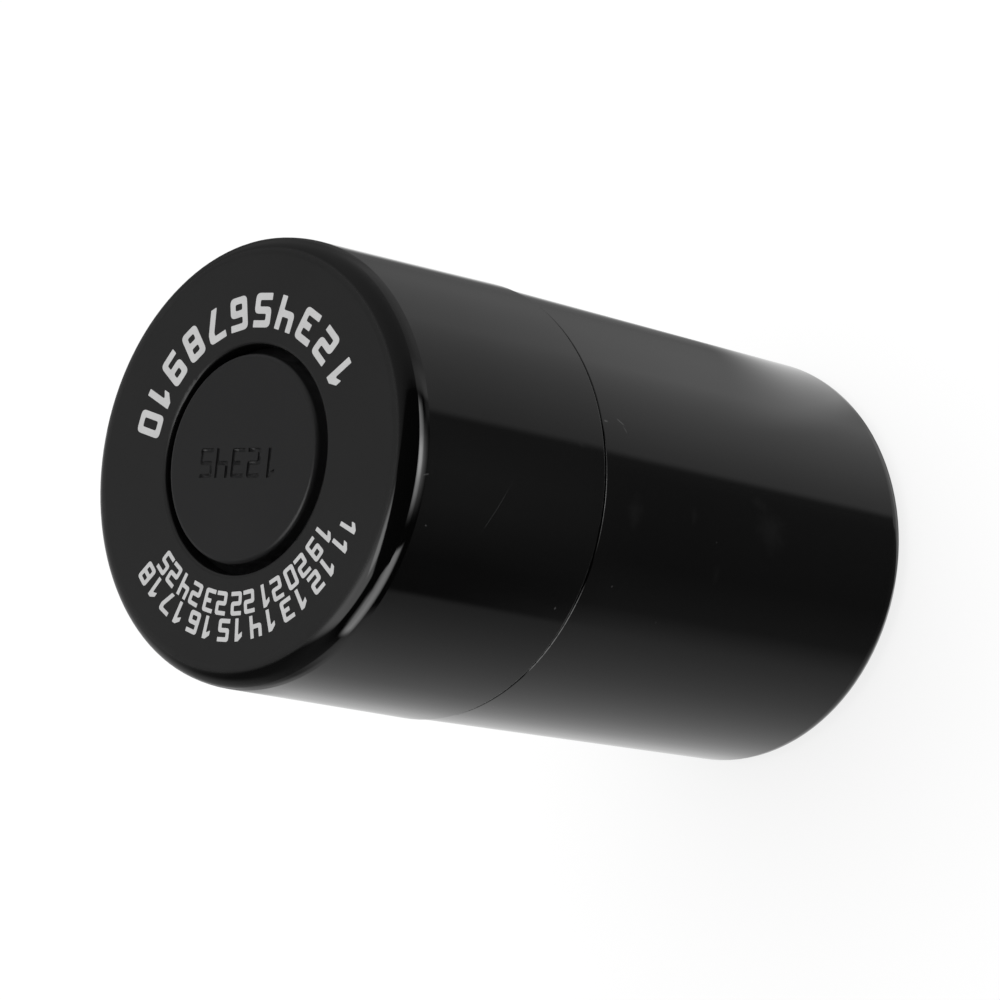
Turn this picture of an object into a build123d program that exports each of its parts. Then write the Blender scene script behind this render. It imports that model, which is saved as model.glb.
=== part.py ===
from build123d import *
import os
from math import cos, pi, radians, sin, sqrt, tan

# A pocket vacuum canister for dry goods. The cap pushes down over the neck of the cup,
# and a sprung button in its face opens a valve that lets the air out, or back in.
# It stands upright on its foot: +Z up, origin in the middle of the foot, millimetres.

# Outside form
base_height = 50.0  # foot to seam
cap_height = 28.2  # seam to face
rim_radius = 23.04  # the cap's open rim, the widest place
seam_step = 0.16  # how far the rim stands out past the cup
draft_degrees = 0.5  # taper of the moulded outside walls

# Cup
headroom = 10.2  # over the neck, inside the cap, for the valve
neck_clearance = 0.3  # all round, inside the cap's skirt
neck_wall = 1.35  # at the mouth
bore_draft_degrees = 0.3
mouth_rounding = 0.5
shoulder_rounding = 0.3
floor_thickness = 2.6
floor_rounding = 2.0
foot_rounding = 2.8
foot_width = 2.6  # the flat ring that it stands on
foot_recess = 0.8

# Cap
skirt_wall = 1.5
face_thickness = 2.0
cap_edge_lean_degrees = 12.0  # how far the wall leans in before it turns over
cap_edge_blend = 6.0  # the rounding where it starts to lean
cap_edge_land = 0.05  # the straight between the two roundings
cap_edge_rounding = 2.05
rim_rounding = 0.15
rim_gap = 0.15  # the shadow line that the rim leaves over the cup's shoulder
rim_gap_depth = 0.6
roof_rounding = 1.0
hole_clearance = 0.87  # the open gap round the button
hole_rounding = 0.5
sleeve_wall = 1.2  # the tube under the face that guides the button
sleeve_depth = 3.7
sleeve_rounding = 0.3
cap_rib_count = 6
cap_rib_thickness = 1.0
cap_rib_splay = 2.8  # how far a rib's foot starts outside the sleeve
bead_count = 6  # the snap beads that hold the inner lid
bead_arc_degrees = 24.0
bead_depth = 0.5
bead_height = 1.0
bead_land = 0.4
key_count = 3  # the keys that stop the button from turning
key_width = 1.8
key_depth = 0.8
key_clearance = 0.25

# Inner lid: a plug in the mouth, with the valve's port in a raised dome
flange_lift = 1.3  # above the neck
flange_thickness = 1.6
flange_clearance = 0.25
plug_clearance = 0.8
plug_depth = 7.1  # below the flange
plug_wall = 2.2
plug_floor = 1.6
plug_rounding = 0.6
dome_radius = 9.5
dome_wall = 1.3
dome_rise = 4.4
dome_roof = 1.6
dome_rounding = 0.5
port_radius = 3.4
tube_wall = 1.2
tube_height = 4.3
seat_margin = 0.8  # port's edge to the raised seat
seat_width = 0.6
seat_height = 0.4
guide_wall = 0.75
guide_height = 3.0
guide_web_count = 3
guide_web = 1.0
plug_rib_count = 6
plug_rib_thickness = 1.0
plug_rib_height = 2.4

# Seal round the plug: a band in a groove, with two lips that bear on the bore
groove_depth = 1.0
groove_height = 3.8
groove_drop = 1.5  # below the flange
band_clearance = 0.05
seal_clearance = 0.1  # the lips as the bore holds them
lip_count = 2
lip_root = 0.7
lip_tip = 0.45
lip_sweep = 0.85  # how far a lip climbs on its way out
lip_rounding = 0.12

# Button
button_radius = 10.63
button_proud = 0.4
button_travel = 2.5
button_plate = 1.7
button_wall = 1.3
button_edge_rounding = 0.5
collar_step = 1.8  # how far the collar stands out under the face
collar_height = 3.2
collar_clearance = 0.3
boss_wall = 1.4
spring_ring_wall = 0.8
spring_ring_height = 1.0
button_rib_count = 6
button_rib_thickness = 0.8
button_rib_height = 1.2

# Valve
stem_radius = 1.6
stem_clearance = 0.1  # running fit in the guide
stem_press = 0.02  # between the stem and the boss that grips it
stem_pin_radius = 1.1
stem_chamfer = 0.3
stopper_radius = 6.0
stopper_thickness = 1.3
stopper_edge = 0.7
stopper_hub_radius = 2.6
stopper_hub_rise = 1.0
stopper_hub_drop = 0.3
stopper_clearance = 0.03
washer_radius = 3.2
washer_thickness = 0.4
screw_shank_radius = 0.75
screw_length = 3.6
screw_head_radius = 1.9
screw_head_height = 1.1
screw_head_rounding = 0.6
screw_slot_width = 0.5
screw_slot_length = 2.2
screw_slot_depth = 0.6
screw_clearance = 0.03

# Spring
spring_wire = 0.7
spring_side_clearance = 0.65  # round the port's tube
spring_end_clearance = 0.05
spring_closed_half_turns = 2  # at each end
spring_active_half_turns = 6
spring_closed_gap = 0.45
gap_samples_per_turn = 36

# One overrun serves every cut, and every rib where it runs into a wall.
overrun = 0.4

# Heights
seam = base_height
face = seam + cap_height
roof = face - face_thickness
neck_top = roof - headroom
sleeve_end = roof - sleeve_depth
flange_bottom = neck_top + flange_lift
flange_top = flange_bottom + flange_thickness
plug_bottom = flange_bottom - plug_depth
plug_floor_top = plug_bottom + plug_floor
dome_ceiling = plug_bottom + dome_rise
dome_top = dome_ceiling + dome_roof
tube_top = dome_top + tube_height
groove_top = flange_bottom - groove_drop
groove_bottom = groove_top - groove_height
seat = dome_ceiling - seat_height
stopper_bottom = seat - stopper_thickness - stopper_hub_drop
stem_shoulder = seat + stopper_hub_rise
button_face = face + button_proud
button_ceiling = button_face - button_plate
collar_bottom = roof - collar_height
boss_bottom = tube_top + button_travel
washer_bottom = stopper_bottom - washer_thickness

# Radii
draft_slope = tan(radians(draft_degrees))
bore_slope = tan(radians(bore_draft_degrees))


def cap_radius(height):
    """Outside radius of the cap below its rounded edge."""
    return rim_radius - (height - seam) * draft_slope


def skirt_inside(height):
    """Inside radius of the cap's skirt at a height."""
    return cap_radius(height) - skirt_wall


def cup_radius(height):
    """Outside radius of the cup below its shoulder."""
    return rim_radius - seam_step - (seam - height) * draft_slope


def neck_radius(height):
    """Outside radius of the cup's neck, parallel to the skirt over it."""
    return skirt_inside(height) - neck_clearance


mouth_radius = neck_radius(neck_top) - neck_wall


def bore_radius(height):
    """Inside radius of the cup, which narrows towards its floor."""
    return mouth_radius - (neck_top - height) * bore_slope


hole_radius = button_radius + hole_clearance
foot_outside = cup_radius(0)
foot_inside = foot_outside - foot_rounding - foot_width
sleeve_inside = button_radius + collar_step + collar_clearance
sleeve_outside = sleeve_inside + sleeve_wall
collar_radius = button_radius + collar_step
plug_radius = mouth_radius - plug_clearance
plug_inside = plug_radius - plug_wall
groove_radius = plug_radius - groove_depth
dome_outside = dome_radius + dome_wall
tube_radius = port_radius + tube_wall
seat_inside = port_radius + seat_margin
seat_outside = seat_inside + seat_width
guide_inside = stem_radius + stem_clearance
guide_outside = guide_inside + guide_wall
boss_inside = stem_radius + stem_press
boss_radius = boss_inside + boss_wall
coil_radius = tube_radius + spring_side_clearance + spring_wire / 2
spring_ring_inside = coil_radius + spring_wire / 2 + spring_side_clearance
spring_ring_outside = spring_ring_inside + spring_ring_wall

# Each section below is a list of corners, (radius, height, rounding), turned about Z.


def places(corners):
    """The corners' places on the section plane."""
    return [(radius, height) for radius, height, rounding in corners]


def roundings(corners):
    """The corners' roundings, zero where a corner is sharp."""
    return [rounding for radius, height, rounding in corners]


def radial_planes(count, start=0):
    """Section planes spaced evenly about Z."""
    return [Plane.XZ.rotated((0, 0, start + 360 * step / count)) for step in range(count)]


# Cup: body, shoulder, neck and bore in one moulding
cup_corners = [
    (0, foot_recess, 0),
    (foot_inside, foot_recess, foot_recess / 2),
    (foot_inside, 0, 0),
    (foot_outside, 0, foot_rounding),
    (cup_radius(seam), seam, shoulder_rounding),
    (neck_radius(seam), seam, 0),
    (neck_radius(neck_top), neck_top, mouth_rounding),
    (mouth_radius, neck_top, mouth_rounding),
    (bore_radius(floor_thickness), floor_thickness, floor_rounding),
    (0, floor_thickness, 0),
]
with BuildPart() as base_cup:
    with BuildSketch(Plane.XZ):
        with BuildLine():
            FilletPolyline(*places(cup_corners), radius=roundings(cup_corners), close=True)
        make_face()
    revolve(axis=Axis.Z)

# Cap shell: face with the button's hole, drafted skirt, and the guide sleeve under the face.
# Its edge turns in two steps, a gentle lean and then the rounding.
edge_lean = radians(cap_edge_lean_degrees)
edge_reach = (
    cap_edge_rounding * tan((pi / 2 - edge_lean) / 2)
    + cap_edge_blend * tan(edge_lean / 2)
    + cap_edge_land
)
lean_start = face - edge_reach * cos(edge_lean)
cap_corners = [
    (hole_radius, face, hole_rounding),
    (cap_radius(face) - edge_reach * sin(edge_lean), face, cap_edge_rounding),
    (cap_radius(lean_start), lean_start, cap_edge_blend),
    (rim_radius, seam + rim_gap, rim_rounding),
    (rim_radius - rim_gap_depth, seam + rim_gap, 0),
    (rim_radius - rim_gap_depth, seam, 0),
    (skirt_inside(seam), seam, rim_rounding),
    (skirt_inside(roof), roof, roof_rounding),
    (sleeve_outside, roof, sleeve_rounding),
    (sleeve_outside, sleeve_end, sleeve_rounding),
    (sleeve_inside, sleeve_end, sleeve_rounding),
    (sleeve_inside, roof, 0),
    (hole_radius, roof, 0),
]
bead_radius = skirt_inside(flange_bottom)
with BuildPart() as cap_shell:
    with BuildSketch(Plane.XZ):
        with BuildLine():
            FilletPolyline(*places(cap_corners), radius=roundings(cap_corners), close=True)
        make_face()
    revolve(axis=Axis.Z)
    # Ribs from the sleeve to the skirt, whose feet press the inner lid's flange
    with BuildSketch(*radial_planes(cap_rib_count)):
        with BuildLine():
            Polyline(
                (sleeve_outside - overrun, roof + overrun),
                (skirt_inside(roof) + overrun, roof + overrun),
                (skirt_inside(flange_top) + overrun, flange_top),
                (sleeve_outside + cap_rib_splay, flange_top),
                (sleeve_outside, sleeve_end + sleeve_rounding),
                (sleeve_outside - overrun, sleeve_end + sleeve_rounding),
                close=True,
            )
        make_face()
    extrude(amount=cap_rib_thickness / 2, both=True)
    # Snap beads under the flange, half way between the ribs
    with BuildSketch(*radial_planes(bead_count, (360 / bead_count - bead_arc_degrees) / 2)):
        with BuildLine():
            Polyline(
                (bead_radius + overrun, flange_bottom),
                (bead_radius - bead_depth, flange_bottom),
                (bead_radius - bead_depth, flange_bottom - bead_land),
                (skirt_inside(flange_bottom - bead_height), flange_bottom - bead_height),
                (bead_radius + overrun, flange_bottom - bead_height),
                close=True,
            )
        make_face()
    revolve(axis=Axis.Z, revolution_arc=bead_arc_degrees)
    # Keys down the inside of the sleeve
    with BuildSketch(Plane.XY.offset(sleeve_end + sleeve_rounding)):
        with PolarLocations(sleeve_inside - key_depth, key_count):
            Rectangle(key_depth + overrun, key_width, align=(Align.MIN, Align.CENTER))
    extrude(until=Until.NEXT)

# Inner lid: flange, grooved plug, domed floor, port tube and valve seat
lid_corners = [
    (port_radius, dome_ceiling, 0),
    (seat_inside, dome_ceiling, 0),
    (seat_inside, seat, 0),
    (seat_outside, seat, 0),
    (seat_outside, dome_ceiling, 0),
    (dome_radius, dome_ceiling, dome_rounding),
    (dome_radius, plug_bottom, dome_rounding),
    (plug_radius, plug_bottom, plug_rounding),
    (plug_radius, groove_bottom, 0),
    (groove_radius, groove_bottom, 0),
    (groove_radius, groove_top, 0),
    (plug_radius, groove_top, 0),
    (plug_radius, flange_bottom, 0),
    (skirt_inside(flange_top) - flange_clearance, flange_bottom, dome_rounding),
    (skirt_inside(flange_top) - flange_clearance, flange_top, 0),
    (plug_inside, flange_top, 0),
    (plug_inside, plug_floor_top, plug_rounding),
    (dome_outside, plug_floor_top, dome_rounding),
    (dome_outside, dome_top, dome_rounding),
    (tube_radius, dome_top, 0),
    (tube_radius, tube_top, 0),
    (port_radius, tube_top, 0),
]
with BuildPart() as inner_lid:
    with BuildSketch(Plane.XZ):
        with BuildLine():
            FilletPolyline(*places(lid_corners), radius=roundings(lid_corners), close=True)
        make_face()
    revolve(axis=Axis.Z)
    # Guide ring for the stem, held in the tube by webs that leave the air a way through
    with BuildSketch(Plane.XY.offset(tube_top - guide_height)):
        Circle(guide_outside)
        with PolarLocations(0, guide_web_count):
            Rectangle(port_radius + overrun, guide_web, align=(Align.MIN, Align.CENTER))
        Circle(guide_inside, mode=Mode.SUBTRACT)
    extrude(amount=guide_height)
    # Ribs across the floor, from the dome to the plug's wall
    with BuildSketch(Plane.XY.offset(plug_floor_top - overrun)):
        with PolarLocations(dome_radius + overrun, plug_rib_count):
            Rectangle(
                plug_inside - dome_radius,
                plug_rib_thickness,
                align=(Align.MIN, Align.CENTER),
            )
    extrude(amount=plug_rib_height + overrun)

# Seal: a band that sits in the groove, with lips that sweep up and out to the bore
band_inside = groove_radius + band_clearance
band_bottom = groove_bottom + band_clearance
band_top = groove_top - band_clearance
lip_pitch = (band_top - band_bottom) / lip_count
lip_margin = (lip_pitch - lip_root) / 2
lip_radius = bore_radius(groove_bottom) - seal_clearance
lip_corners = []
for lip in range(lip_count):
    root = band_bottom + lip * lip_pitch + lip_margin
    lip_corners += [
        (plug_radius, root, 0),
        (lip_radius, root + lip_sweep, lip_rounding),
        (lip_radius, root + lip_sweep + lip_tip, lip_rounding),
        (plug_radius, root + lip_root, 0),
    ]
seal_corners = [
    (band_inside, band_bottom, 0),
    (plug_radius, band_bottom, 0),
    *lip_corners,
    (plug_radius, band_top, 0),
    (band_inside, band_top, 0),
]
with BuildPart() as seal_ring:
    with BuildSketch(Plane.XZ):
        with BuildLine():
            FilletPolyline(*places(seal_corners), radius=roundings(seal_corners), close=True)
        make_face()
    revolve(axis=Axis.Z)

# Push button: face, wall through the hole, stepped collar under the face, and stem boss
button_corners = [
    (0, button_face, 0),
    (button_radius, button_face, button_edge_rounding),
    (button_radius, roof, 0),
    (collar_radius, roof, 0),
    (collar_radius, collar_bottom, 0),
    (collar_radius - button_wall, collar_bottom, 0),
    (collar_radius - button_wall, roof - button_wall, 0),
    (button_radius - button_wall, roof - button_wall, 0),
    (button_radius - button_wall, button_ceiling, 0),
    (spring_ring_outside, button_ceiling, 0),
    (spring_ring_outside, button_ceiling - spring_ring_height, 0),
    (spring_ring_inside, button_ceiling - spring_ring_height, 0),
    (spring_ring_inside, button_ceiling, 0),
    (boss_radius, button_ceiling, 0),
    (boss_radius, boss_bottom, 0),
    (boss_inside, boss_bottom, 0),
    (boss_inside, button_ceiling, 0),
    (0, button_ceiling, 0),
]
with BuildPart() as push_button:
    with BuildSketch(Plane.XZ):
        with BuildLine():
            FilletPolyline(
                *places(button_corners), radius=roundings(button_corners), close=True
            )
        make_face()
    revolve(axis=Axis.Z)
    # Short ribs between the spring's ring and the wall
    with BuildSketch(Plane.XY.offset(button_ceiling + overrun)):
        with PolarLocations(spring_ring_outside - overrun, button_rib_count):
            Rectangle(
                button_radius - button_wall - spring_ring_outside + 2 * overrun,
                button_rib_thickness,
                align=(Align.MIN, Align.CENTER),
            )
    extrude(amount=-(button_rib_height + overrun))
    # Slots in the collar that ride on the sleeve's keys
    with BuildSketch(Plane.XY.offset(collar_bottom - overrun)):
        with PolarLocations(sleeve_inside - key_depth - key_clearance, key_count):
            Rectangle(
                key_depth + key_clearance + overrun,
                key_width + 2 * key_clearance,
                align=(Align.MIN, Align.CENTER),
            )
    extrude(amount=collar_height + overrun, mode=Mode.SUBTRACT)

# Valve stem: a rod that the boss grips, with a pin below its shoulder for the stopper
stem_top = button_ceiling - stem_press
stem_corners = [
    (0, stopper_bottom, 0),
    (stem_pin_radius, stopper_bottom, 0),
    (stem_pin_radius, stem_shoulder, 0),
    (stem_radius, stem_shoulder, 0),
    (stem_radius, stem_top - stem_chamfer, 0),
    (stem_radius - stem_chamfer, stem_top, 0),
    (0, stem_top, 0),
]
with BuildPart() as valve_stem:
    with BuildSketch(Plane.XZ):
        with BuildLine():
            Polyline(*places(stem_corners), close=True)
        make_face()
    revolve(axis=Axis.Z)
    with BuildSketch(Plane.XY.offset(stopper_bottom)):
        Circle(screw_shank_radius + screw_clearance)
    extrude(amount=screw_length - washer_thickness + screw_clearance, mode=Mode.SUBTRACT)

# Valve stopper: a soft disc that closes the port from below, on a hub that grips the pin
stopper_corners = [
    (stem_pin_radius + stopper_clearance, stopper_bottom, 0),
    (stopper_hub_radius, stopper_bottom, 0),
    (stopper_hub_radius, seat - stopper_thickness, 0),
    (stopper_radius, seat - stopper_edge, 0),
    (stopper_radius, seat, stopper_edge / 3),
    (stopper_hub_radius, seat, 0),
    (stopper_hub_radius, stem_shoulder - stopper_clearance, stopper_edge / 3),
    (stem_pin_radius + stopper_clearance, stem_shoulder - stopper_clearance, 0),
]
with BuildPart() as valve_stopper:
    with BuildSketch(Plane.XZ):
        with BuildLine():
            FilletPolyline(
                *places(stopper_corners), radius=roundings(stopper_corners), close=True
            )
        make_face()
    revolve(axis=Axis.Z)

# Washer that backs the stopper
with BuildPart() as stopper_washer:
    with BuildSketch(Plane.XY.offset(washer_bottom)):
        Circle(washer_radius)
        Circle(screw_shank_radius + screw_clearance, mode=Mode.SUBTRACT)
    extrude(amount=washer_thickness)

# Screw that holds the washer and the stopper on the stem
screw_corners = [
    (0, washer_bottom - screw_head_height, 0),
    (screw_head_radius, washer_bottom - screw_head_height, screw_head_rounding),
    (screw_head_radius, washer_bottom, 0),
    (screw_shank_radius, washer_bottom, 0),
    (screw_shank_radius, washer_bottom + screw_length, 0),
    (0, washer_bottom + screw_length, 0),
]
with BuildPart() as stopper_screw:
    with BuildSketch(Plane.XZ):
        with BuildLine():
            FilletPolyline(
                *places(screw_corners), radius=roundings(screw_corners), close=True
            )
        make_face()
    revolve(axis=Axis.Z)
    with BuildSketch(Plane.XY.offset(washer_bottom - screw_head_height)):
        Rectangle(screw_slot_length, screw_slot_width)
        Rectangle(screw_slot_width, screw_slot_length)
    extrude(amount=screw_slot_depth, mode=Mode.SUBTRACT)

# Button spring: one wire, with a closer turn at each end. Each half turn is a biarc.
coil_bottom = dome_top + spring_end_clearance + spring_wire / 2
coil_top = button_ceiling - spring_end_clearance - spring_wire / 2
closed_rise = (spring_wire + spring_closed_gap) / 2
active_rise = (
    coil_top - coil_bottom - 2 * spring_closed_half_turns * closed_rise
) / spring_active_half_turns
closed_rises = [closed_rise] * spring_closed_half_turns
rises = closed_rises + [active_rise] * spring_active_half_turns + closed_rises


def coil_knot(index):
    """Place and direction of the wire's middle after this many half turns."""
    before = rises[max(index - 1, 0)]
    after = rises[min(index, len(rises) - 1)]
    height = coil_bottom + sum(rises[:index])
    place = Vector(coil_radius * cos(pi * index), coil_radius * sin(pi * index), height)
    climb = (before + after) / 2 / (pi * coil_radius)
    return place, Vector(-sin(pi * index), cos(pi * index), climb).normalized()


def biarc_joint(start, start_way, end, end_way):
    """Place and direction where two equal-armed arcs meet, one tangent to each end."""
    across = end - start
    both = start_way + end_way
    spread = 2 * (1 - start_way.dot(end_way))
    lean = across.dot(both)
    arm = (sqrt(lean**2 + spread * across.dot(across)) - lean) / spread
    near = start + start_way * arm
    far = end - end_way * arm
    return (near + far) / 2, (far - near).normalized()


with BuildPart() as button_spring:
    with BuildLine() as coil:
        for index in range(len(rises)):
            start, start_way = coil_knot(index)
            end, end_way = coil_knot(index + 1)
            joint, joint_way = biarc_joint(start, start_way, end, end_way)
            TangentArc(start, joint, tangent=start_way)
            TangentArc(joint, end, tangent=joint_way)
    with BuildSketch(Plane(origin=coil_knot(0)[0], z_dir=coil_knot(0)[1])):
        Circle(spring_wire / 2)
    sweep()

coil_wire = coil.wire()
samples = gap_samples_per_turn * len(rises) // 2
coil_points = [coil_wire @ (step / samples) for step in range(samples + 1)]
coil_gap = min(
    (coil_points[low] - coil_points[high]).length - spring_wire
    for low in range(samples + 1)
    for high in range(low + gap_samples_per_turn // 2, samples + 1)
)
print("Button spring: least gap between turns", round(coil_gap, 2), "mm")

base_cup.part.label = "base_cup"
cap_shell.part.label = "cap_shell"
inner_lid.part.label = "inner_lid"
seal_ring.part.label = "seal_ring"
push_button.part.label = "push_button"
button_spring.part.label = "button_spring"
valve_stem.part.label = "valve_stem"
valve_stopper.part.label = "valve_stopper"
stopper_washer.part.label = "stopper_washer"
stopper_screw.part.label = "stopper_screw"
os.makedirs("parts", exist_ok=True)
export_step(base_cup.part, "parts/base_cup.step")
export_step(cap_shell.part, "parts/cap_shell.step")
export_step(inner_lid.part, "parts/inner_lid.step")
export_step(seal_ring.part, "parts/seal_ring.step")
export_step(push_button.part, "parts/push_button.step")
export_step(button_spring.part, "parts/button_spring.step")
export_step(valve_stem.part, "parts/valve_stem.step")
export_step(valve_stopper.part, "parts/valve_stopper.step")
export_step(stopper_washer.part, "parts/stopper_washer.step")
export_step(stopper_screw.part, "parts/stopper_screw.step")
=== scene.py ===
import math

import bmesh
import bpy
from mathutils import Matrix, Vector
from mathutils.geometry import tessellate_polygon


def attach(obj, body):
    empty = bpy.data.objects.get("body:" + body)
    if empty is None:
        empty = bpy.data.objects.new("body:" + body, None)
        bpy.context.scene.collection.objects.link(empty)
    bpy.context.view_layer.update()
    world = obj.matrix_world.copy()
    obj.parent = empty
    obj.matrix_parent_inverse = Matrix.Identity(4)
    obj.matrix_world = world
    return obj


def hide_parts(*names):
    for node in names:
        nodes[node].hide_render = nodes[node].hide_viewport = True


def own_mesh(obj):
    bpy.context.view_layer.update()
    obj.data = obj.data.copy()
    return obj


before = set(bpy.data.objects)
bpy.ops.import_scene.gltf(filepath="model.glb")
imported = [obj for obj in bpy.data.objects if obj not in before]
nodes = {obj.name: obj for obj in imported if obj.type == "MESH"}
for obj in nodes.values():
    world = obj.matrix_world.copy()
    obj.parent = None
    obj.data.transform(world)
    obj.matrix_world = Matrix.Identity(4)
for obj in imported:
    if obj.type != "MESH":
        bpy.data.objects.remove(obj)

# A pocket vacuum canister, dressed: polished black cup and cap, a satin face with plain
# printed numbers, and a button with five plain numbers cut into it. Metres throughout, apart
# from the numbers and the marks of wear, which are in millimetres.

MM = 0.001
FACE = 0.0782  # height of the cap's face
BUTTON_FACE = 0.0786
WALL_RADIUS = 0.023  # near enough for marks on the walls
CAMERA_SIDE = math.radians(171.75)  # the camera's direction round the canister

GLOSS = 0.0022  # colour of the polished plastic
SATIN = 0.0115  # colour of the satin plastic
SATIN_EDGE = 0.05 * MM  # half the height in which polished turns to satin
GRAIN_DEPTH = 0.02 * MM
SMUDGE_WIDTH = 0.5  # a mark at least this wide is a smudge, in millimetres
PRINT_FILM, PRINT_ROOT = 0.02 * MM, 0.01 * MM  # the ink's height, and how far it goes in

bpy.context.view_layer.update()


# Camera

camera_data = bpy.data.cameras.new("camera")
camera_data.lens = 157.527
camera_data.sensor_width = 36.0
camera_data.clip_start = 0.01
camera_data.clip_end = 20.0
camera = bpy.data.objects.new("camera", camera_data)
bpy.context.scene.collection.objects.link(camera)
camera.matrix_world = Matrix((
    (-0.7223821, 0.0, -0.6914941, -0.3190056),
    (-0.0984870, -0.9898054, 0.1028862, 0.0462682),
    (-0.6844446, 0.1424263, 0.7150177, 0.3711134),
    (0.0, 0.0, 0.0, 1.0),
))
bpy.context.scene.camera = camera
bpy.context.scene.view_settings.view_transform = "Standard"


# Node helpers

class Graph:
    """A node tree with short calls. A socket given as a value is linked."""

    def __init__(self, tree):
        tree.nodes.clear()
        self.tree = tree

    def add(self, kind, inputs=None, **settings):
        node = self.tree.nodes.new(kind)
        for name, value in settings.items():
            setattr(node, name, value)
        for name, value in (inputs or {}).items():
            self.put(node.inputs[name], value)
        return node

    def put(self, socket, value):
        if isinstance(value, bpy.types.NodeSocket):
            self.tree.links.new(value, socket)
        else:
            socket.default_value = value

    def math(self, operation, *values):
        node = self.tree.nodes.new("ShaderNodeMath")
        node.operation = operation
        for socket, value in zip(node.inputs, values):
            self.put(socket, value)
        return node.outputs[0]

    def step(self, value, low, high, to_low=0.0, to_high=1.0, kind="SMOOTHSTEP"):
        """A step from to_low to to_high as value goes from low to high."""
        node = self.add("ShaderNodeMapRange", interpolation_type=kind)
        for name, item in (
            ("Value", value), ("From Min", low), ("From Max", high),
            ("To Min", to_low), ("To Max", to_high),
        ):
            self.put(node.inputs[name], item)
        return node.outputs["Result"]

    def window(self, value, low, high, soft):
        """One between low and high, falling to zero over soft at each end."""
        rise = self.step(value, low - soft, low)
        fall = self.step(value, high, high + soft, 1.0, 0.0)
        return self.math("MULTIPLY", rise, fall)

    def mix(self, factor, low, high):
        """The value low where the factor is zero, and high where it is one."""
        return self.add("ShaderNodeMix", {"Factor": factor, 2: low, 3: high}).outputs[0]

    def mix_color(self, factor, low, high):
        """The same for two colours of three parts."""
        return self.add("ShaderNodeMix", {
            "Factor": factor, 6: (*low, 1.0), 7: (*high, 1.0),
        }, data_type="RGBA").outputs[2]

    def angle(self, x, y):
        """The direction of (x, y) in degrees."""
        return self.math("MULTIPLY", self.math("ARCTAN2", y, x), 180 / math.pi)

    def ramp(self, factor, stops):
        """A grey ramp from (place, level) stops."""
        node = self.add("ShaderNodeValToRGB", {"Fac": factor})
        ramp = node.color_ramp
        while len(ramp.elements) < len(stops):
            ramp.elements.new(1.0)
        for element, (place, level) in zip(ramp.elements, stops):
            element.position = place
            element.color = (level, level, level, 1.0)
        return node.outputs["Color"]


def new_material(name):
    material = bpy.data.materials.new(name)
    material.use_nodes = True
    return material, Graph(material.node_tree)


def finish_surface(graph, shader):
    graph.add("ShaderNodeOutputMaterial", {"Surface": shader.outputs[0]})


def grey(level):
    return (level, level, level, 1.0)


# Studio

world = bpy.data.worlds.new("studio_world")
world.use_nodes = True
bpy.context.scene.world = world
graph = Graph(world.node_tree)
path = graph.add("ShaderNodeLightPath")
seen = graph.math(
    "MAXIMUM",
    path.outputs["Is Camera Ray"],
    graph.math("MAXIMUM", path.outputs["Is Glossy Ray"], path.outputs["Is Transmission Ray"]),
)
ambient = graph.add("ShaderNodeBackground", {"Color": grey(1.0), "Strength": 0.42})
backdrop = graph.add("ShaderNodeBackground", {"Color": grey(1.0), "Strength": 1.0})
both = graph.add("ShaderNodeMixShader", {0: seen, 1: ambient.outputs[0], 2: backdrop.outputs[0]})
graph.add("ShaderNodeOutputWorld", {"Surface": both.outputs[0]})

# A wide soft sun, which the gloss doesn't see
key_data = bpy.data.lights.new("key_light", "SUN")
key_data.energy = 1.95
key_data.angle = math.radians(70)
key = bpy.data.objects.new("key_light", key_data)
key.rotation_euler = (math.radians(22), math.radians(14), 0)
key.visible_glossy = False
bpy.context.scene.collection.objects.link(key)


def new_object(name, mesh):
    thing = bpy.data.objects.new(name, mesh)
    bpy.context.scene.collection.objects.link(thing)
    return thing


def disc_mesh(name, radius, height, sides):
    mesh = bmesh.new()
    ring = [
        mesh.verts.new((radius * math.cos(2 * math.pi * i / sides),
                        radius * math.sin(2 * math.pi * i / sides), height))
        for i in range(sides)
    ]
    mesh.faces.new(ring)
    data = bpy.data.meshes.new(name)
    mesh.to_mesh(data)
    mesh.free()
    return data


# The floor is pale and keeps the canister's shadow. Seen directly it comes out white.
floor = new_object("floor", disc_mesh("floor", radius=3.0, height=-0.0002, sides=96))
floor.visible_glossy = False
material, graph = new_material("floor_white")
path = graph.add("ShaderNodeLightPath")
seen = graph.math("MAXIMUM", path.outputs["Is Camera Ray"], path.outputs["Is Transmission Ray"])
paint = graph.add("ShaderNodeBsdfDiffuse", {
    "Color": graph.ramp(seen, [(0.0, 0.8), (1.0, 0.22)]),
})
lift = graph.add("ShaderNodeEmission", {"Strength": graph.math("MULTIPLY", seen, 0.82)})
finish_surface(graph, graph.add("ShaderNodeAddShader", {0: paint.outputs[0], 1: lift.outputs[0]}))
floor.data.materials.append(material)

# The gloss reflects a tent round the canister: a pale floor and walls that dim towards the
# camera, a dark front, and bright cards that draw the lines on the cap's edge. It is painted
# by direction, in degrees: turn, round from the camera's side, and rise, up from the level.
tent_mesh = bmesh.new()
bmesh.ops.create_uvsphere(tent_mesh, u_segments=64, v_segments=32, radius=1.5)
bmesh.ops.reverse_faces(tent_mesh, faces=tent_mesh.faces)
tent_data = bpy.data.meshes.new("studio_tent")
tent_mesh.to_mesh(tent_data)
tent_mesh.free()
tent = new_object("studio_tent", tent_data)
tent.location = (0, 0, 0.04)  # about half the canister's height


def reflected_only(thing):
    """Turn the thing towards the camera's side, and show it to the gloss alone."""
    thing.rotation_euler = (0, 0, CAMERA_SIDE)
    for ray in ("camera", "diffuse", "transmission", "volume_scatter", "shadow"):
        setattr(thing, "visible_" + ray, False)


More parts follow.
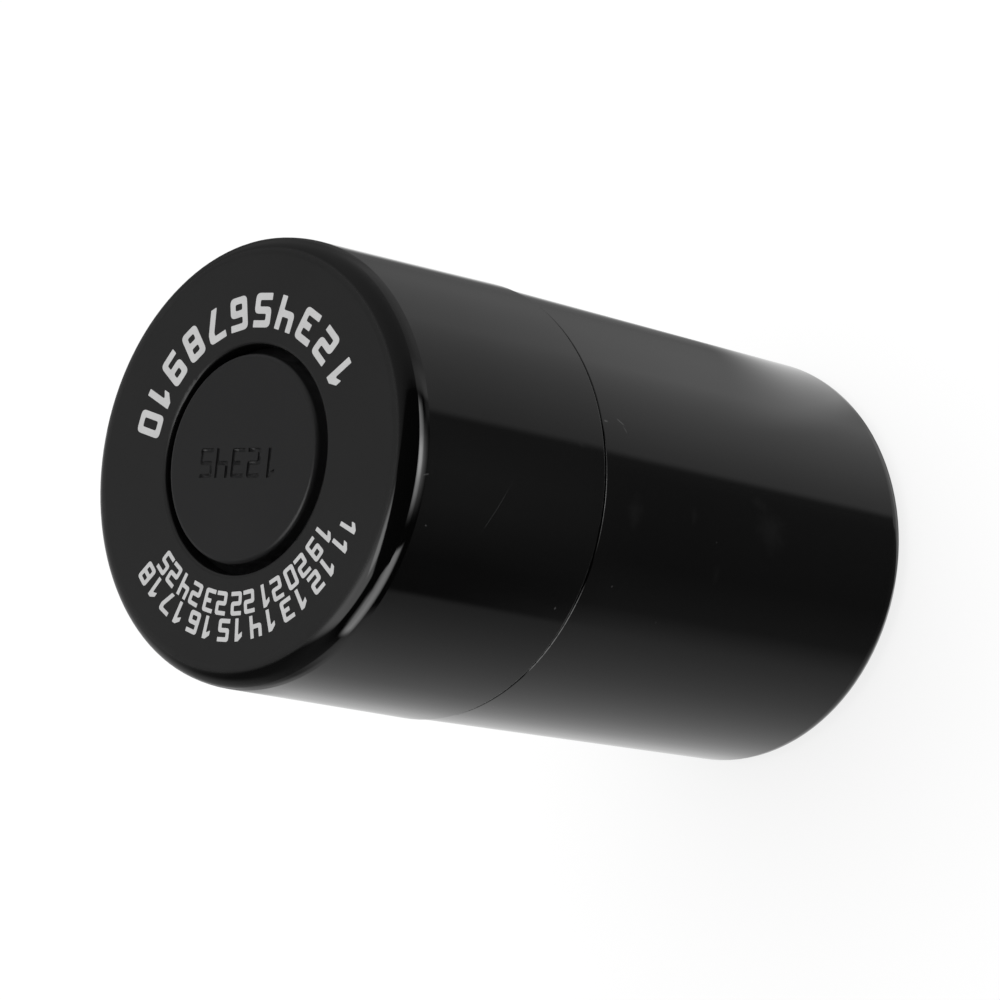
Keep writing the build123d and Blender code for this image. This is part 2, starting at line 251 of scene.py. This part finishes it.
reflected_only(tent)
material, graph = new_material("studio_cards")
material.cycles.emission_sampling = "NONE"
place = graph.add("ShaderNodeTexCoord").outputs["Object"]
unit = graph.add("ShaderNodeVectorMath", {0: place}, operation="NORMALIZE").outputs[0]
axes = graph.add("ShaderNodeSeparateXYZ", {0: unit}).outputs
turn = graph.angle(axes["X"], axes["Y"])
rise = graph.math("MULTIPLY", graph.math("ARCSINE", axes["Z"]), 180 / math.pi)
share = graph.math("ADD", graph.math("DIVIDE", turn, 360), 0.5)


def around(stops):
    """A level that goes with the turn, from (turn, level) stops."""
    return graph.ramp(share, [((angle + 180) / 360, level) for angle, level in stops])


def card(strength, *limits):
    """Add a card. Each limit is a direction with where it has faded out and where it is full."""
    shape = strength
    for value, gone, full in limits:
        shape = graph.math("MULTIPLY", graph.step(value, gone, full), shape)
    return graph.math("ADD", level, shape)


floor_near = around([
    (-180, 0.76), (-148, 0.90), (-115, 0.65), (-83, 0.44), (-66, 0.35), (-54, 0.28), (-38, 0.10),
    (-12, 0.06), (34, 0.08), (41.5, 0.10), (44.5, 0.38), (66, 0.52), (99, 0.67), (132, 0.33),
    (148, 0.195), (162, 0.21), (180, 0.76),
])
floor_far = around([
    (-180, 0.76), (-146, 0.88), (-114, 0.51), (-81, 0.37), (-52, 0.20), (-49, 0.03), (-30, 0.04),
    (0, 0.125), (16, 0.14), (41.5, 0.10), (44.5, 0.34), (65, 0.42), (97, 0.51), (130, 0.325),
    (146, 0.195), (156, 0.16), (160, 0.29), (165, 0.74), (169, 1.0), (180, 0.76),
])
walls = around([
    (-180, 0.27), (-152, 0.28), (-140, 0.09), (-130, 0.05), (-110, 0.06), (-90, 0.11),
    (-80, 0.10), (-68, 0.0), (45, 0.0), (51, 0.13), (62, 0.20), (90, 0.245), (120, 0.285),
    (145, 0.25), (165, 0.13), (180, 0.27),
])
level = graph.mix(graph.step(rise, -48, -43, kind="LINEAR"), floor_near, floor_far)
off_floor = (rise, -42.2, -39.5)
level = graph.mix(graph.step(*off_floor), level, walls)
# Where the walls meet the floor they are lighter, and darker at two places behind
level = card(0.33, (turn, -112, -85), (turn, -55, -68), off_floor, (rise, -21, -30))
level = card(0.22, (turn, -150, -128), (turn, -85, -105), off_floor, (rise, -32, -38))
level = card(0.20, (turn, -88, -135), off_floor, (rise, 20, -4))
level = card(0.16, (turn, 44, 52), (turn, 125, 75), off_floor, (rise, -16, -34))
level = card(0.25, (turn, 44.5, 48.5), (turn, 66, 54), off_floor, (rise, -17, -21))
level = card(-0.12, (turn, 115, 136), (turn, 170, 155), off_floor, (rise, 5, -22))
level = card(-0.34, (turn, -135, -162), (rise, -42.4, -41.6), (rise, -37, -41))
level = card(0.22, (turn, 30, 41), (turn, 58, 46), off_floor, (rise, -30, -37))
# The outer line on the cap's edge, which tapers to both ends, with its faint lower side and
# its hot middle
off_middle = graph.math("ABSOLUTE", graph.math("SUBTRACT", turn, 15))
tapered = graph.math("SUBTRACT", rise, graph.math("MULTIPLY", off_middle, 0.12))
level = card(4.0, (turn, -16, 3), (turn, 47, 38), (tapered, -32.2, -23.2), (rise, -20.8, -23.8))
level = card(1.2, (turn, -14, 14), (turn, 40, 14), (rise, -39, -31), (rise, -22, -28))
level = card(2.6, (turn, 3, 14), (turn, 29, 19), (rise, -29, -24.5), (rise, -20.8, -23.8))
# A shorter line beside it, and its tip
slanted = graph.math("SUBTRACT", turn, graph.math("MULTIPLY", rise, 0.2))
rounded = graph.math("ADD", turn, graph.math("MULTIPLY", rise, 0.5))
level = card(3.2, (slanted, -71, -64), (rounded, -36.5, -40), (rise, -31.5, -24.5), (rise, 5, -15))
level = card(0.9, (turn, -67, -59), (turn, -44, -51), (rise, -12, -4), (rise, 13, 1))
# The inner line, next to the satin face, is a window in the ceiling with one bright side. Its
# places are on a plane overhead, as shares of the plane's height, along that side and across.
over = graph.math("MAXIMUM", axes["Z"], 0.05)
window_turn = math.radians(42.3)
ahead, beside = (graph.math("DIVIDE", axes[axis], over) for axis in "XY")
across = graph.math(
    "ADD",
    graph.math("MULTIPLY", ahead, math.cos(window_turn)),
    graph.math("MULTIPLY", beside, math.sin(window_turn)),
)
along = graph.math(
    "SUBTRACT",
    graph.math("MULTIPLY", ahead, math.sin(window_turn)),
    graph.math("MULTIPLY", beside, math.cos(window_turn)),
)
level = card(1.65, (across, -0.80, -0.48), (across, 0.16, 0.06), (along, -0.15, 0.40),
             (along, 1.58, 1.20), (rise, 5, 20))
level = card(1.9, (across, -0.095, -0.04), (across, 0.15, 0.08), (along, 0.0, 0.22),
             (along, 0.86, 0.62), (rise, 5, 20))
glow = graph.add("ShaderNodeEmission", {"Color": grey(1.0), "Strength": level})
finish_surface(graph, glow)
tent.data.materials.append(material)

# A pool of light on the floor, close to the foot on one side, with its far edge drawn out
pool = new_object(
    "studio_pool", disc_mesh("studio_pool", radius=0.05, height=-0.0001, sides=64)
)
reflected_only(pool)
material, graph = new_material("studio_pool")
material.cycles.emission_sampling = "NONE"
place = graph.add("ShaderNodeTexCoord").outputs["Object"]
axes = graph.add("ShaderNodeSeparateXYZ", {0: place}).outputs
turn = graph.angle(axes["X"], axes["Y"])
reach = graph.add("ShaderNodeVectorMath", {0: place}, operation="LENGTH").outputs["Value"]
stretch = graph.math("SUBTRACT", reach, graph.math("MULTIPLY", axes["X"], 0.45))
pool_share = graph.math(
    "MULTIPLY",
    graph.window(turn, 70, 125, 15),
    graph.step(stretch, 24 * MM, 37.5 * MM, 1.0, 0.0),
)
finish_surface(graph, graph.add("ShaderNodeMixShader", {
    0: pool_share,
    1: graph.add("ShaderNodeBsdfTransparent").outputs[0],
    2: graph.add("ShaderNodeEmission", {"Color": grey(1.0), "Strength": 0.87}).outputs[0],
}))
pool.data.materials.append(material)


# Materials

def principled(graph, color, roughness, normal=None, **sockets):
    inputs = {"Base Color": color, "Roughness": roughness}
    for name, value in sockets.items():
        inputs[name.replace("_", " ")] = value
    if normal is not None:
        inputs["Normal"] = normal
    return graph.add("ShaderNodeBsdfPrincipled", inputs)


def object_place(graph):
    return graph.add("ShaderNodeTexCoord").outputs["Object"]


def noise(graph, place, scale, detail=3.0):
    return graph.add("ShaderNodeTexNoise", {
        "Vector": place, "Scale": scale, "Detail": detail,
    }).outputs["Fac"]


def bump(graph, height, strength):
    return graph.add("ShaderNodeBump", {
        "Height": height, "Strength": strength, "Distance": GRAIN_DEPTH,
    }).outputs["Normal"]


def wall_marks(graph, place, marks):
    """How pale the marks make a wall. Each one is a ragged oval on the wall laid out flat."""
    axes = graph.add("ShaderNodeSeparateXYZ", {0: place}).outputs
    # Angles are taken from the opposite side, so that their jump is away from the marks
    back_x, back_y = (graph.math("MULTIPLY", axes[axis], -1) for axis in "XY")
    angle = graph.math("ARCTAN2", back_y, back_x)
    flat = graph.add("ShaderNodeCombineXYZ", {
        0: graph.math("MULTIPLY", angle, WALL_RADIUS), 1: axes["Z"],
    }).outputs[0]
    ragged = graph.math("SUBTRACT", noise(graph, place, 1100.0), 0.5)
    total = 0.0
    for turn, height, length, width, slant, pale in marks:
        along = (CAMERA_SIDE - math.pi + math.radians(turn)) * WALL_RADIUS
        spot = graph.add("ShaderNodeMapping", {
            "Vector": flat, "Location": (along, height * MM, 0),
            "Rotation": (0, 0, math.radians(slant)),
            "Scale": (length * MM / 2, width * MM / 2, 1),
        }, vector_type="TEXTURE").outputs[0]
        away = graph.add("ShaderNodeVectorMath", {0: spot}, operation="LENGTH").outputs["Value"]
        away = graph.math("ADD", away, ragged)
        core = 0.0 if width >= SMUDGE_WIDTH else 0.4  # a smudge fades from its very middle
        total = graph.math("ADD", graph.step(away, core, 1.0, pale, 0.0), total)
    return total


def polished_black(name, color, marks, satin_above=None, satin_color=None):
    """Polished black plastic with faint swirls, dust and marks, and satin above a height."""
    material, graph = new_material(name)
    place = object_place(graph)
    swirl = noise(graph, place, 90.0)
    dust = graph.add("ShaderNodeTexVoronoi", {"Vector": place, "Scale": 160.0}).outputs["Distance"]
    patch = noise(graph, place, 60.0, 1.0)
    speck = graph.math(
        "MULTIPLY", graph.step(dust, 0.02, 0.05, 1.0, 0.0), graph.step(patch, 0.62, 0.66)
    )
    base = graph.math("ADD", graph.math("MULTIPLY", swirl, color * 0.5), color * 0.75)
    rough = graph.math("ADD", graph.math("MULTIPLY", swirl, 0.03), 0.035)
    normal = None
    if satin_above is not None:
        height = graph.add("ShaderNodeSeparateXYZ", {0: place}).outputs["Z"]
        satin = graph.step(height, satin_above - SATIN_EDGE, satin_above + SATIN_EDGE)
        cloud = graph.math("MULTIPLY", swirl, satin_color * 0.3)
        base = graph.mix(satin, base, graph.math("ADD", cloud, satin_color * 0.85))
        rough = graph.mix(satin, rough, 0.30)
        grain = noise(graph, place, 4200.0, 2.0)
        normal = bump(graph, graph.math("MULTIPLY", grain, satin), 0.12)
    base = graph.math("ADD", base, graph.math("MULTIPLY", speck, 0.06))
    base = graph.math("ADD", base, wall_marks(graph, place, marks))
    rough = graph.math("ADD", rough, graph.math("MULTIPLY", speck, 0.3))
    color = graph.add("ShaderNodeCombineColor", {0: base, 1: base, 2: base}).outputs[0]
    finish_surface(graph, principled(graph, color, rough, normal))
    return material


def satin_plastic(name, color, rough):
    """Moulded plastic with a fine spark texture."""
    material, graph = new_material(name)
    place = object_place(graph)
    cloud = noise(graph, place, 120.0)
    fine = noise(graph, place, 3800.0, 2.0)
    tint = graph.mix_color(cloud, [c * 0.88 for c in color], [c * 1.12 for c in color])
    roughness = graph.math("ADD", graph.math("MULTIPLY", cloud, 0.08), rough - 0.04)
    finish_surface(graph, principled(graph, tint, roughness, bump(graph, fine, 0.12)))
    return material


def soft_silicone(name):
    """Cloudy silicone with a dusty bloom."""
    material, graph = new_material(name)
    place = object_place(graph)
    cloud = noise(graph, place, 260.0)
    tint = graph.mix_color(cloud, (0.56, 0.56, 0.54), (0.68, 0.68, 0.66))
    roughness = graph.math("ADD", graph.math("MULTIPLY", cloud, 0.15), 0.33)
    finish_surface(graph, principled(
        graph, tint, roughness, bump(graph, noise(graph, place, 1800.0), 0.15),
        Subsurface_Weight=0.35, Subsurface_Radius=(0.8, 0.8, 0.75), Subsurface_Scale=0.0012,
    ))
    return material


def steel(name, stretch, rough):
    """Stainless steel with fine drawing marks along one axis."""
    material, graph = new_material(name)
    place = object_place(graph)
    mapped = graph.add("ShaderNodeMapping", {"Vector": place, "Scale": stretch}).outputs[0]
    marks = noise(graph, mapped, 900.0, 4.0)
    tint = graph.mix_color(marks, (0.50, 0.50, 0.49), (0.66, 0.66, 0.65))
    roughness = graph.math("ADD", graph.math("MULTIPLY", marks, 0.2), rough - 0.1)
    finish_surface(graph, principled(
        graph, tint, roughness, bump(graph, marks, 0.08), Metallic=1.0
    ))
    return material


def printed(name):
    """Pad print: a thin, slightly uneven film of pale grey ink."""
    material, graph = new_material(name)
    place = object_place(graph)
    cloud = noise(graph, place, 700.0)
    tint = graph.ramp(cloud, [(0.0, 0.50), (1.0, 0.62)])
    roughness = graph.math("ADD", graph.math("MULTIPLY", cloud, 0.1), 0.4)
    finish_surface(graph, principled(graph, tint, roughness))
    return material


def dress(thing, material):
    thing.data.materials.clear()
    thing.data.materials.append(material)


# Marks of wear: turn from the camera's side in degrees, height, length and width, slant in
# degrees, and how pale. Scratches first, then specks, then smudges.
cap_marks = [
    (0.5, 65.0, 7.6, 0.14, -28, 0.022), (5.2, 75.3, 1.0, 0.22, -75, 0.05),
    (-7.0, 73.9, 0.3, 0.16, 80, 0.07), (-21.4, 52.5, 0.45, 0.3, 0, 0.07),
    (20.7, 53.6, 1.5, 0.8, 70, 0.006),
]
cup_marks = [
    (29.6, 46.8, 1.5, 0.28, 60, 0.06), (29.0, 49.2, 0.8, 0.3, 90, 0.06),
    (28.0, 46.4, 1.2, 0.22, 35, 0.04), (-13.1, 45.8, 0.4, 0.4, 0, 0.04),
    (3.4, 32.0, 0.25, 0.25, 0, 0.035), (-20.5, 37.2, 0.25, 0.2, 0, 0.03),
    (6.8, 45.1, 4.6, 3.0, 0, 0.005), (9.3, 23.5, 6.5, 5.5, 60, 0.0055),
    (16.0, 25.6, 3.4, 1.8, 80, 0.004), (-4.5, 31.0, 3.2, 1.3, 10, 0.0035),
    (9.0, 36.0, 2.8, 1.3, 10, 0.0035),
]
button_black = satin_plastic("button_black", (SATIN, SATIN, 0.0118), 0.34)
dress(nodes["base_cup"], polished_black("gloss_black", GLOSS, cup_marks))
dress(nodes["cap_shell"], polished_black(
    "cap_black", GLOSS, cap_marks, satin_above=FACE - 0.14 * MM, satin_color=SATIN
))
dress(nodes["push_button"], button_black)
dress(nodes["inner_lid"], satin_plastic("inner_black", (0.022, 0.022, 0.022), 0.3))
dress(nodes["seal_ring"], soft_silicone("seal_silicone"))
dress(nodes["valve_stopper"], soft_silicone("stopper_silicone"))
dress(nodes["valve_stem"], satin_plastic("stem_natural", (0.74, 0.73, 0.68), 0.38))
dress(nodes["stopper_washer"], steel("washer_steel", (8, 1, 1), 0.3))
dress(nodes["stopper_screw"], steel("screw_steel", (1, 1, 1), 0.26))


# Numbers

def digit_loops(digit, width, height, stroke):
    """Outline and holes of a squarish digit in a box from (0, 0) to (width, height)."""
    w, h, s = width, height, stroke
    low, high = h / 2 - s / 2, h / 2 + s / 2
    box = [(0, 0), (w, 0), (w, h), (0, h)]
    lower_hole = [(s, s), (s, low), (w - s, low), (w - s, s)]
    upper_hole = [(s, high), (s, h - s), (w - s, h - s), (w - s, high)]
    middle = w * 0.56
    return {
        0: [box, [(s, s), (s, h - s), (w - s, h - s), (w - s, s)]],
        1: [[(middle - s / 2, 0), (middle + s / 2, 0), (middle + s / 2, h), (middle - s / 2, h),
             (w * 0.08, h - s), (w * 0.08, h - 2.1 * s), (middle - s / 2, h - 1.35 * s)]],
        2: [[(0, 0), (w, 0), (w, s), (s, s), (s, low), (w, low), (w, h), (0, h), (0, h - s),
             (w - s, h - s), (w - s, high), (0, high)]],
        3: [[(0, 0), (w, 0), (w, h), (0, h), (0, h - s), (w - s, h - s), (w - s, high),
             (w * 0.3, high), (w * 0.3, low), (w - s, low), (w - s, s), (0, s)]],
        4: [[(w - s, 0), (w, 0), (w, h), (w - s, h), (w - s, high), (s, high), (s, h), (0, h),
             (0, low), (w - s, low)]],
        5: [[(0, 0), (w, 0), (w, high), (s, high), (s, h - s), (w, h - s), (w, h), (0, h),
             (0, low), (w - s, low), (w - s, s), (0, s)]],
        6: [[(0, 0), (w, 0), (w, high), (s, high), (s, h - s), (w, h - s), (w, h), (0, h)],
            lower_hole],
        7: [[(w * 0.22, 0), (w * 0.22 + s * 1.15, 0), (w, h - 1.6 * s), (w, h), (0, h),
             (0, h - s), (w - s * 1.15, h - s), (w - s * 1.15, h - 1.6 * s)]],
        8: [box, lower_hole, upper_hole],
        9: [[(0, 0), (w, 0), (w, h), (0, h), (0, low), (w - s, low), (w - s, s), (0, s)],
            upper_hole],
    }[digit]


def rounded_loop(points, stroke):
    """The loop with its corners rounded: a stroke's bends more than its ends."""
    result = []
    count = len(points)
    area = sum(
        points[i - 1][0] * points[i][1] - points[i][0] * points[i - 1][1] for i in range(count)
    )
    for i in range(count):
        before, here, after = (Vector(points[(i + k) % count]) for k in (-1, 0, 1))
        back, on = before - here, after - here
        turn = (here - before).cross(after - here)
        outward = turn * area > 0
        shortest = min(back.length, on.length)
        if area < 0:
            radius = 0.3 * stroke
        elif outward and shortest > 1.3 * stroke:
            radius = 0.85 * stroke
        elif outward:
            radius = 0.1 * stroke
        else:
            radius = 0.25 * stroke
        angle = back.angle(on)
        reach = min(radius / math.tan(angle / 2), 0.48 * shortest)
        start, end = here + back.normalized() * reach, here + on.normalized() * reach
        steps = 5 if radius > 0.2 * stroke else 2
        for k in range(steps + 1):
            t = k / steps
            result.append((1 - t) ** 2 * start + 2 * t * (1 - t) * here + t ** 2 * end)
    return result


def add_prism(mesh, loops, place, bottom, top):
    """A closed prism between two heights from an outline and its holes."""
    placed = [[place(point) for point in loop] for loop in loops]
    flat = [[Vector((x, y, 0)) for x, y in loop] for loop in placed]
    triangles = tessellate_polygon(flat)
    points = [point for loop in placed for point in loop]
    lower = [mesh.verts.new((x, y, bottom)) for x, y in points]
    upper = [mesh.verts.new((x, y, top)) for x, y in points]
    for triangle in triangles:
        a, b, c = (points[i] for i in triangle)
        if (b[0] - a[0]) * (c[1] - a[1]) - (b[1] - a[1]) * (c[0] - a[0]) < 0:
            triangle = triangle[::-1]
        mesh.faces.new([upper[i] for i in triangle])
        mesh.faces.new([lower[i] for i in reversed(triangle)])
    first = 0
    for loop in placed:
        for i in range(len(loop)):
            j = first + (i + 1) % len(loop)
            mesh.faces.new([lower[first + i], lower[j], upper[j], upper[first + i]])
        first += len(loop)


def mesh_from(mesh, name):
    bmesh.ops.recalc_face_normals(mesh, faces=mesh.faces)
    data = bpy.data.meshes.new(name)
    mesh.to_mesh(data)
    mesh.free()
    return data


def arc_numbers(mesh, numbers, inner, outer, start, end, width, stroke, gap, tops_out):
    """Numbers set evenly round an arc of the face, from start to end in degrees. A digit has
    that width and stroke, reaches from the inner radius to the outer, and lies a gap from the
    next digit of its number. Its top faces out from the middle of the face, or in."""
    middle = (inner + outer) / 2
    glyphs = sum(len(number) for number in numbers)
    length = math.radians(abs(end - start)) * middle
    joins = glyphs - len(numbers)
    space = (length - glyphs * width - joins * gap) / (len(numbers) - 1)
    at = 0.0
    for number in numbers:
        for letter in number:
            centre = at + width / 2
            angle = math.radians(start) + centre / length * math.radians(end - start)
            out = Vector((math.cos(angle), math.sin(angle)))
            up = out if tops_out else -out
            right = Vector((up.y, -up.x))
            corner = out * middle - up * (outer - inner) / 2 - right * width / 2

            def place(point):
                spot = (corner + right * point[0] + up * point[1]) * MM
                return spot.x, spot.y

            loops = digit_loops(int(letter), width, outer - inner, stroke)
            loops = [rounded_loop(loop, stroke) for loop in loops]
            add_prism(mesh, loops, place, FACE - PRINT_ROOT, FACE + PRINT_FILM)
            at += width + gap
        at += space - gap


numbers = [str(number) for number in range(1, 26)]
print_mesh = bmesh.new()
arc_numbers(print_mesh, numbers[:10], inner=13.25, outer=16.75, start=-149.7, end=-9.7,
            width=2.4, stroke=0.72, gap=0.45, tops_out=False)
arc_numbers(print_mesh, numbers[10:18], inner=16.0, outer=18.3, start=159.5, end=40.0,
            width=1.62, stroke=0.45, gap=0.36, tops_out=True)
arc_numbers(print_mesh, numbers[18:], inner=13.3, outer=15.7, start=152.0, end=43.6,
            width=1.5, stroke=0.43, gap=0.34, tops_out=True)
face_print = new_object("face_print", mesh_from(print_mesh, "face_print"))
dress(face_print, printed("print_grey"))
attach(face_print, "cap")

# The spring is a copy of its own solid, with a mesh of its own.
spring = new_object("press_spring", nodes["button_spring"].data.copy())
dress(spring, steel("spring_steel", (1, 1, 6), 0.24))
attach(spring, "cap")
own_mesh(spring)
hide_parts("button_spring")

# The button is its own solid with the five numbers cut into its face.
cutter_mesh = bmesh.new()
digit_width, digit_height, digit_gap, digit_stroke = 1.85, 3.0, 0.455, 0.42
first_x, first_y = -5.07, -1.05  # the first digit's lower corner
cut_depth, cut_clearance = 0.16 * MM, 0.3 * MM
for index in range(5):
    corner_x = first_x + index * (digit_width + digit_gap)

    def place(point):
        return (corner_x + point[0]) * MM, (first_y + point[1]) * MM

    loops = digit_loops(index + 1, digit_width, digit_height, digit_stroke)
    loops = [rounded_loop(loop, digit_stroke) for loop in loops]
    add_prism(cutter_mesh, loops, place, BUTTON_FACE - cut_depth, BUTTON_FACE + cut_clearance)
cutter = new_object("number_cutter", mesh_from(cutter_mesh, "number_cutter"))

plain = bmesh.new()
plain.from_mesh(nodes["push_button"].data)
bmesh.ops.remove_doubles(plain, verts=plain.verts, dist=1e-7)
button_data = bpy.data.meshes.new("button_numbered")
plain.to_mesh(button_data)
plain.free()
button = new_object("button_numbered", button_data)
cut = button.modifiers.new("numbers", "BOOLEAN")
cut.operation = "DIFFERENCE"
cut.solver = "EXACT"
cut.object = cutter
bpy.context.view_layer.update()
evaluated = button.evaluated_get(bpy.context.evaluated_depsgraph_get())
numbered = bpy.data.meshes.new_from_object(evaluated)
button.modifiers.clear()
button.data = numbered
bpy.data.objects.remove(cutter)
numbered.shade_smooth()
numbered.set_sharp_from_angle(angle=math.radians(28))
flat = button.modifiers.new("flat_face", "WEIGHTED_NORMAL")
flat.weight = 100
flat.keep_sharp = True
dress(button, button_black)
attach(button, "button")
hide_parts("push_button")
